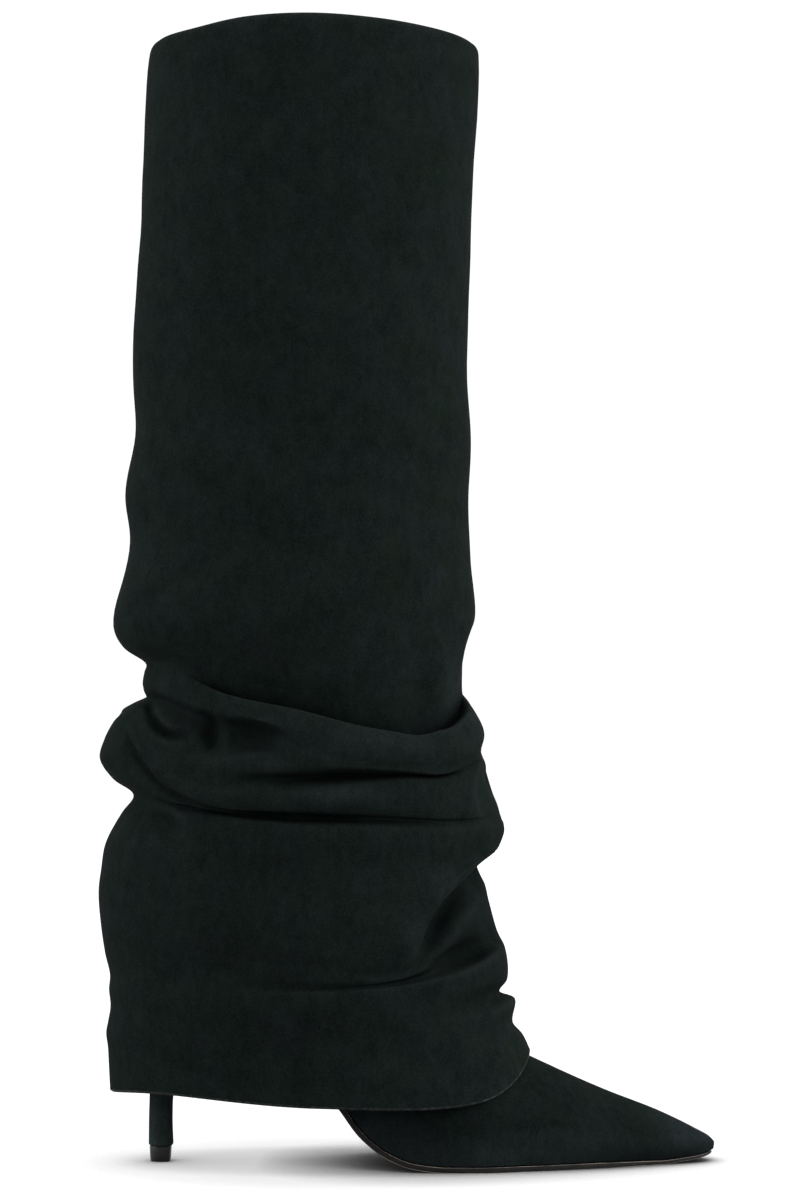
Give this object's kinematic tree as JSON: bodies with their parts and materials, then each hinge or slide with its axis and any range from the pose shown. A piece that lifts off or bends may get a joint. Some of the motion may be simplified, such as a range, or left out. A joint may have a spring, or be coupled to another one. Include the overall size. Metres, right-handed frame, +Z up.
{
  "type": "fold-over knee boot",
  "caption": "Right knee boot in black suede with a pointed toe, a slim high heel and an outer shaft folded over at the collar that slouches above the heel.",
  "frame": {"origin": "middle of the boot's bounding box, on the floor plane under the sole", "axes": "+X towards the toe, +Y towards the medial side, +Z up the leg"},
  "size_m": [0.2564, 0.1164, 0.4706],
  "materials": {
    "suede": "black napped suede, very matte",
    "sole_leather": "smooth black, satin edge",
    "lining": "plain black, matte",
    "heel_rubber": "hard black rubber, satin"
  },
  "bodies": {
    "root": {"outsole": "sole_leather", "insole": "lining", "heel": "suede", "heel_tip": "heel_rubber", "upper": "suede", "fold_over_shaft": "suede"}
  },
  "joints": []
}
